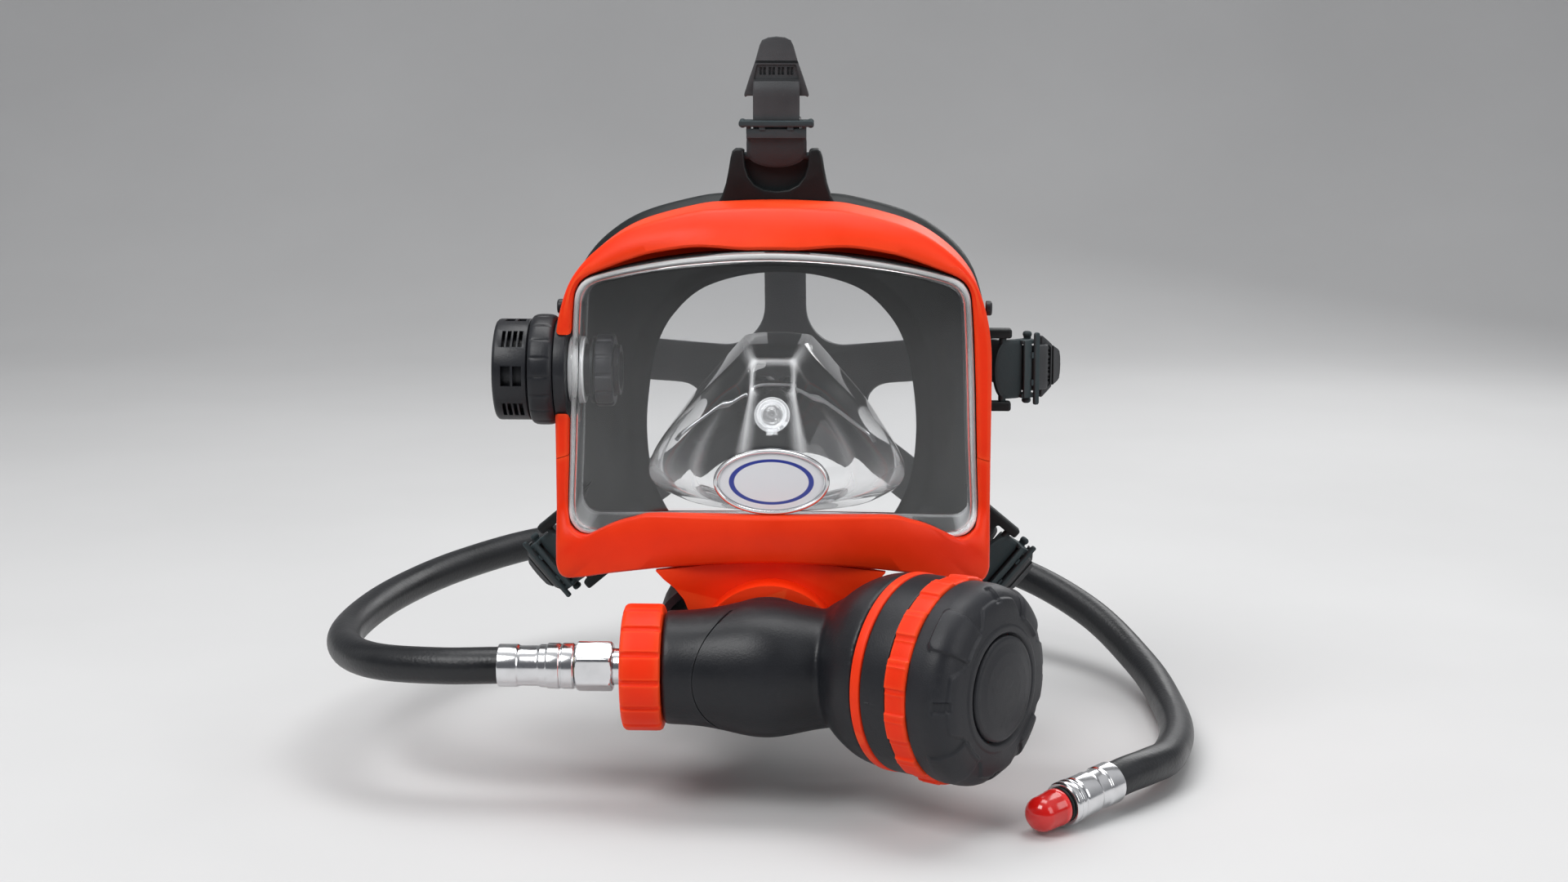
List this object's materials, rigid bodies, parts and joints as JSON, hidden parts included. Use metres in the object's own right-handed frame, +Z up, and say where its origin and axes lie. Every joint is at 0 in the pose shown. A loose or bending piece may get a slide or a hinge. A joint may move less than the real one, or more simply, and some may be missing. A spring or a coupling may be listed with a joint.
{
  "type": "full face respirator",
  "caption": "Full face breathing mask: clear framed visor, rubber face skirt, side mounted demand regulator with supply hose, ambient air valve and strap harness.",
  "frame": {"origin": "under the centre of the bounding box, on the level of the lowest point", "axes": "+X to the wearer's left, -Y out of the visor towards the viewer, +Z up"},
  "size_m": [0.3904, 0.3577, 0.3175],
  "materials": {
    "orange_plastic": "satin",
    "clear_plastic": "polished",
    "black_rubber": "matte",
    "black_plastic": "satin",
    "chrome": "polished",
    "brushed_steel": "brushed",
    "brass": "machined",
    "white_plastic": "gloss",
    "grey_silicone": "matte",
    "red_cap": "gloss",
    "badge_enamel": "gloss",
    "hose_rubber": "satin"
  },
  "bodies": {
    "mask": {"upper_frame": "orange_plastic", "lower_frame": "orange_plastic", "chin_plate": "orange_plastic", "visor": "clear_plastic", "face_skirt": "black_rubber", "chin_port": "black_plastic", "oral_nasal_mask": "clear_plastic", "check_valve_seat": "white_plastic", "frame_screw_left": "black_plastic", "frame_screw_right": "black_plastic", "badge_bezel": "chrome", "badge_plate": "badge_enamel", "abv_port_body": "black_plastic", "abv_gasket": "black_rubber", "abv_lock_nut": "black_plastic", "abv_cage": "black_plastic", "regulator_body": "black_plastic", "inlet_cap_nut": "orange_plastic", "air_barrel": "chrome", "poppet_spring": "brushed_steel", "lever_pin": "brushed_steel", "clamp_ring": "orange_plastic", "housing_ring": "black_plastic", "purge_cover": "black_rubber", "hose_stem": "brass", "hose_ferrule_inlet": "chrome", "supply_hose": "hose_rubber", "hose_ferrule_outlet": "chrome", "hose_end_fitting": "chrome", "end_o_ring": "black_rubber", "head_harness": "black_rubber"},
    "abv_control": {"abv_knob": "black_plastic", "abv_shutter": "black_plastic"},
    "check_valve": {"check_valve_flap": "grey_silicone"},
    "nose_block": {"nose_block_pads": "black_rubber", "nose_block_wire": "brushed_steel"},
    "lock_ring": {"lock_ring": "orange_plastic"},
    "purge": {"purge_button": "black_rubber", "purge_spring": "brushed_steel"},
    "diaphragm": {"diaphragm": "grey_silicone", "diaphragm_plate": "brushed_steel"},
    "demand_lever": {"demand_lever": "brushed_steel"},
    "poppet": {"poppet": "brass"},
    "exhaust_valve": {"exhaust_flap": "grey_silicone"},
    "swivel_nut": {"swivel_nut": "chrome"},
    "dust_cap": {"dust_cap": "red_cap"},
    "buckle_top": {"buckle_top": "black_plastic", "strap_end_top": "black_rubber"},
    "buckle_temple_left": {"buckle_temple_left": "black_plastic", "strap_end_temple_left": "black_rubber"},
    "buckle_temple_right": {"buckle_temple_right": "black_plastic", "strap_end_temple_right": "black_rubber"},
    "buckle_jaw_left": {"buckle_jaw_left": "black_plastic", "strap_end_jaw_left": "black_rubber"},
    "buckle_jaw_right": {"buckle_jaw_right": "black_plastic", "strap_end_jaw_right": "black_rubber"}
  },
  "joints": [
    {"name": "abv_turn", "type": "hinge", "parent": "mask", "child": "abv_control", "pos_m": [-0.0934, -0.0505, 0.1749], "axis": [-1, 0, 0], "range_deg": [0, 22.5]},
    {"name": "check_valve_lift", "type": "slide", "parent": "mask", "child": "check_valve", "axis": [0, -0.963, 0.2696], "range_m": [0, 0.0015]},
    {"name": "nose_block_adjust", "type": "slide", "parent": "mask", "child": "nose_block", "axis": [0, 0, 1], "range_m": [-0.006, 0.002]},
    {"name": "lock_ring_turn", "type": "hinge", "parent": "mask", "child": "lock_ring", "pos_m": [0.0812, -0.13526, 0.0609], "axis": [0.829, -0.5592, 0], "range_deg": [0, 30]},
    {"name": "purge_press", "type": "slide", "parent": "mask", "child": "purge", "axis": [0.829, -0.5592, 0], "range_m": [-0.004, 0]},
    {"name": "diaphragm_travel", "type": "slide", "parent": "mask", "child": "diaphragm", "axis": [0.829, -0.5592, 0], "range_m": [-0.003, 0]},
    {"name": "demand_lever_tilt", "type": "hinge", "parent": "mask", "child": "demand_lever", "pos_m": [0.0496, -0.1135, 0.0589], "axis": [0, 0, 1], "range_deg": [0, 11.1]},
    {"name": "poppet_lift", "type": "slide", "parent": "mask", "child": "poppet", "axis": [1, 0, 0], "range_m": [0, 0.0007]},
    {"name": "exhaust_valve_lift", "type": "slide", "parent": "mask", "child": "exhaust_valve", "axis": [0, 0, -1], "range_m": [0, 0.0015]},
    {"name": "swivel_nut_turn", "type": "hinge", "parent": "mask", "child": "swivel_nut", "pos_m": [-0.0664, -0.1135, 0.0589], "axis": [1, 0, 0], "continuous": true},
    {"name": "dust_cap_pull", "type": "slide", "parent": "mask", "child": "dust_cap", "axis": [-0.704, -0.704, -0.094], "range_m": [0, 0.02]},
    {"name": "buckle_top_swivel", "type": "hinge", "parent": "mask", "child": "buckle_top", "pos_m": [0.0056, -0.0175, 0.2656], "axis": [1, 0, 0], "range_deg": [-10, 10]},
    {"name": "buckle_temple_left_swivel", "type": "hinge", "parent": "mask", "child": "buckle_temple_left", "pos_m": [0.1066, -0.0095, 0.1699], "axis": [0, 0, -1], "range_deg": [-10, 10]},
    {"name": "buckle_temple_right_swivel", "type": "hinge", "parent": "mask", "child": "buckle_temple_right", "pos_m": [-0.0954, -0.0095, 0.1699], "axis": [0, 0, 1], "range_deg": [-10, 10]},
    {"name": "buckle_jaw_left_swivel", "type": "hinge", "parent": "mask", "child": "buckle_jaw_left", "pos_m": [0.1011, -0.0075, 0.0839], "axis": [-0.6404, -0.0015, -0.768], "range_deg": [-10, 10]},
    {"name": "buckle_jaw_right_swivel", "type": "hinge", "parent": "mask", "child": "buckle_jaw_right", "pos_m": [-0.0899, -0.0075, 0.0839], "axis": [-0.6404, 0.0015, 0.768], "range_deg": [-10, 10]}
  ],
  "couplings": [
    {"joint": "diaphragm_travel", "follows": "purge_press", "ratio": 0.75},
    {"joint": "demand_lever_tilt", "follows": "purge_press", "rad_per_m": -48},
    {"joint": "poppet_lift", "follows": "purge_press", "ratio": -0.15}
  ]
}
